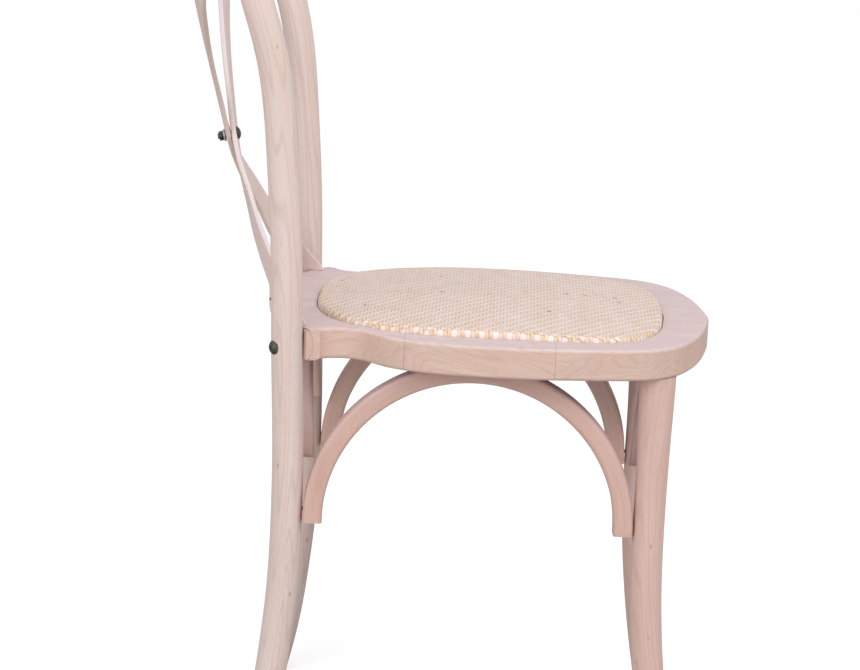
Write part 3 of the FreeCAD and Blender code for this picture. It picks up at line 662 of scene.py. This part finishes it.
def worn_surface(name, dark, light, worn, seed):
    """Half metallic surface, clouded between two tones, with rusty or rubbed spots."""
    tree = Tree(name)
    place = tree.place()
    shift = (seed, seed * 0.6, seed * 1.7)
    cloud = tree.noise(place, (260, 260, 260), shift, 4, 0.6)
    spots = tree.noise(place, (520, 520, 520), shift, 3, 0.6)
    base = tree.tones(cloud, 0.35, dark, 0.70, light)
    base = tree.layer(base, tree.mask(spots, 0.58, 0.68), 0.7, worn)
    tree.bsdf.inputs["Metallic"].default_value = 0.75
    return tree.finish(base, tree.plus(tree.times(cloud, 0.25), 0.32), cloud, 0.25, 0.0003)


def paint(obj, mat):
    obj.data.materials.clear()
    obj.data.materials.append(mat)


# Bends of the arches: plane, centre along it, centre's height, radius, in metres
SIDE_DROP = 168.0
REAR_DROP = 106.0
FRONT_DROP = 100.0
SIDE_BEND_R = 160.0
KNEE_FRONT = KNEE_Y - ROD_R - GAP
LEG_BACK = -FRONT_Y + LEG_R + GAP


def cross_bend(half, drop):
    rise = drop - BAND / 2
    reach = half - BAND / 2 + 1
    radius = (reach * reach + rise * rise) / (2 * rise)
    return "XZ", 0.0, (RING_UNDER - radius - BAND / 2) * MM, radius * MM


side_bend = ("YZ", (KNEE_FRONT + LEG_BACK) / 2 * MM, (RING_UNDER - SIDE_DROP + 4) * MM, SIDE_BEND_R * MM)
front_bend = cross_bend(FRONT_X - LEG_R - GAP, FRONT_DROP)
rear_bend = cross_bend(KNEE_X - ROD_R - GAP, REAR_DROP)

beech_rod = limed_beech("limed_beech_bent", POST_TINT, 1.0, cathedral=0.35, knots=0.8)
beech_slat = limed_beech("limed_beech_slat", POST_TINT, 4.0)
beech_leg = limed_beech("limed_beech_leg", LEG_TINT, 7.0, cathedral=0.30, knots=0.6)
side_arch = limed_beech("limed_beech_side_arch", ARCH_TINT, 9.0, bend=side_bend, cathedral=0.22, knots=0.6)
front_arch = limed_beech("limed_beech_front_arch", ARCH_TINT, 10.0, bend=front_bend)
rear_arch = limed_beech("limed_beech_rear_arch", ARCH_TINT, 11.0, bend=rear_bend)
ring_side = limed_beech("limed_beech_ring_side", RING_TINT, 12.0, (QUARTER_TURN - 0.22, 0, 0), cathedral=0.34)
ring_front = limed_beech("limed_beech_ring_front", RING_TINT, 15.0, (QUARTER_TURN + 0.12, 0, 0.5),
                         cathedral=0.30)
ring_rear = limed_beech("limed_beech_ring_rear", RING_TINT, 17.0, (QUARTER_TURN + 0.10, 0, 0), cathedral=0.30)
block_wood = limed_beech("limed_beech_block", RING_TINT, 19.0, (0, 0, 0))
plywood = limed_beech("seat_plywood", PLYWOOD_TINT, 23.0, (QUARTER_TURN, 0, 0))
rattan = woven_rattan("woven_rattan_strands")
dark_steel = worn_surface("blackened_steel", (0.03, 0.028, 0.027), (0.14, 0.13, 0.125),
                          (0.30, 0.12, 0.05), 2.0)
pale_steel = worn_surface("plain_steel", (0.42, 0.40, 0.37), (0.68, 0.66, 0.62), (0.36, 0.22, 0.12), 5.0)
brown_steel = worn_surface("browned_steel", (0.10, 0.045, 0.03), (0.22, 0.12, 0.08), (0.26, 0.10, 0.05), 3.0)
glide_nylon = worn_surface("glide_nylon", (0.09, 0.08, 0.07), (0.14, 0.12, 0.11), (0.2, 0.18, 0.16), 6.0)

# Swept pieces that stand for CAD nodes, and CAD nodes that keep their own mesh

SMOOTH_ANGLE = math.radians(35)

for obj, mat, node in (
    (make_hoop(), beech_rod, "back_hoop"),
    (make_slat("cross_slat_front_band", -1, False), beech_slat, "cross_slat_front"),
    (make_slat("cross_slat_rear_band", 1, True), beech_slat, "cross_slat_rear"),
    (make_front_leg("front_leg_left_turned", -1), beech_leg, "front_leg_left"),
    (make_front_leg("front_leg_right_turned", 1), beech_leg, "front_leg_right"),
):
    paint(obj, mat)
    obj.data.set_sharp_from_angle(angle=SMOOTH_ANGLE)
    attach(obj, "root")
    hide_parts(node)

pad = make_pad()
paint(pad, rattan)
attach(pad, "root")
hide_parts("rattan_cover", "seat_foam")

CARRIED = {
    side_arch: ("side_arch_left", "side_arch_right"),
    front_arch: ("front_arch",),
    rear_arch: ("rear_arch",),
    ring_front: ("ring_front_rail",),
    ring_side: ("ring_side_rail_left", "ring_side_rail_right"),
    ring_rear: ("ring_rear_rail",),
    block_wood: ("saddle_block_left", "saddle_block_right", "ring_dowels", "front_leg_dowels"),
    dark_steel: ("slat_bolt", "slat_nut", "rear_leg_bolts", "arch_screws"),
    pale_steel: ("slat_washer", "rear_leg_barrel_nuts", "seat_screws"),
    brown_steel: ("slat_screws",),
    glide_nylon: ("foot_glides",),
    plywood: ("seat_board",),
}
for mat, names in CARRIED.items():
    for name in names:
        paint(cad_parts[name], mat)

# Stage, light and camera

FLOOR_VALUE = 0.50
FLOOR_GLOW = 0.62
FLOOR_HALF = 6
STUDIO_COLOUR = (0.98, 0.98, 1.0)
STUDIO_STRENGTH = 0.75
CHAIR_MIDDLE = (0, 0, 0.5)

scene = bpy.context.scene


def white_floor():
    """Matt floor that takes the chair's shadow and shows white to the camera."""
    tree = Tree("floor_white")
    tree.put((FLOOR_VALUE,) * 3, tree.bsdf.inputs["Base Color"])
    tree.bsdf.inputs["Roughness"].default_value = 0.9
    tree.bsdf.inputs["Specular IOR Level"].default_value = 0.1
    seen = tree.nodes.new("ShaderNodeLightPath").outputs["Is Camera Ray"]
    glow = tree.nodes.new("ShaderNodeEmission")
    tree.links.new(tree.times(seen, FLOOR_GLOW), glow.inputs["Strength"])
    both = tree.nodes.new("ShaderNodeAddShader")
    tree.links.new(tree.bsdf.outputs[0], both.inputs[0])
    tree.links.new(glow.outputs[0], both.inputs[1])
    tree.links.new(both.outputs[0], tree.out.inputs["Surface"])
    return tree.mat


def lay_floor():
    corners = [(sx * FLOOR_HALF, sy * FLOOR_HALF, 0) for sx, sy in ((-1, -1), (1, -1), (1, 1), (-1, 1))]
    mesh = bpy.data.meshes.new("floor")
    mesh.from_pydata(corners, [], [(0, 1, 2, 3)])
    floor = bpy.data.objects.new("floor", mesh)
    scene.collection.objects.link(floor)
    paint(floor, white_floor())


def light_world():
    """Soft pale surroundings that show white to the camera."""
    world = bpy.data.worlds.new("studio")
    scene.world = world
    world.use_nodes = True
    nodes = world.node_tree.nodes
    links = world.node_tree.links
    nodes.clear()
    out = nodes.new("ShaderNodeOutputWorld")
    seen = nodes.new("ShaderNodeLightPath")
    either = nodes.new("ShaderNodeMixShader")
    links.new(seen.outputs["Is Camera Ray"], either.inputs["Fac"])
    for socket, colour, strength in ((1, STUDIO_COLOUR, STUDIO_STRENGTH), (2, (1, 1, 1), 1.0)):
        shade = nodes.new("ShaderNodeBackground")
        shade.inputs["Color"].default_value = (*colour, 1)
        shade.inputs["Strength"].default_value = strength
        links.new(shade.outputs[0], either.inputs[socket])
    links.new(either.outputs[0], out.inputs["Surface"])


def area_light(name, place, diameter, power):
    """Round lamp aimed at the chair's middle."""
    data = bpy.data.lights.new(name, "AREA")
    data.shape = "DISK"
    data.size = diameter
    data.energy = power
    obj = bpy.data.objects.new(name, data)
    obj.location = place
    obj.rotation_mode = "QUATERNION"
    obj.rotation_quaternion = (Vector(CHAIR_MIDDLE) - Vector(place)).to_track_quat("-Z", "Y")
    scene.collection.objects.link(obj)


# Camera solved from the photo: place in metres, angles in degrees, focal length in pixels of its frame
CAMERA = (-3.6198, -0.0460, 1.1885)
YAW = math.radians(1.05)
PITCH = math.radians(11.88)
ROLL = math.radians(2.74)
FOCAL_PX = 3494.5
FRAME_WIDTH_PX = 860
SENSOR_MM = 36.0


def set_camera():
    level = math.cos(PITCH)
    ahead = Vector((level * math.cos(YAW), level * math.sin(YAW), -math.sin(PITCH)))
    level_right = Vector((math.sin(YAW), -math.cos(YAW), 0))
    level_up = level_right.cross(ahead)
    right = level_right * math.cos(ROLL) + level_up * math.sin(ROLL)
    up = level_up * math.cos(ROLL) - level_right * math.sin(ROLL)
    data = bpy.data.cameras.new("photo_camera")
    data.sensor_fit = "HORIZONTAL"
    data.sensor_width = SENSOR_MM
    data.lens = SENSOR_MM * FOCAL_PX / FRAME_WIDTH_PX
    data.clip_end = 50
    camera = bpy.data.objects.new("photo_camera", data)
    rows = [(right[i], up[i], -ahead[i], CAMERA[i]) for i in range(3)]
    camera.matrix_world = Matrix((*rows, (0, 0, 0, 1)))
    scene.collection.objects.link(camera)
    scene.camera = camera


lay_floor()
light_world()
area_light("key", (-1.6, -1.4, 2.4), 1.8, 37)
area_light("fill", (-2.4, 1.6, 1.4), 2.2, 31)
set_camera()
scene.view_settings.view_transform = "Standard"
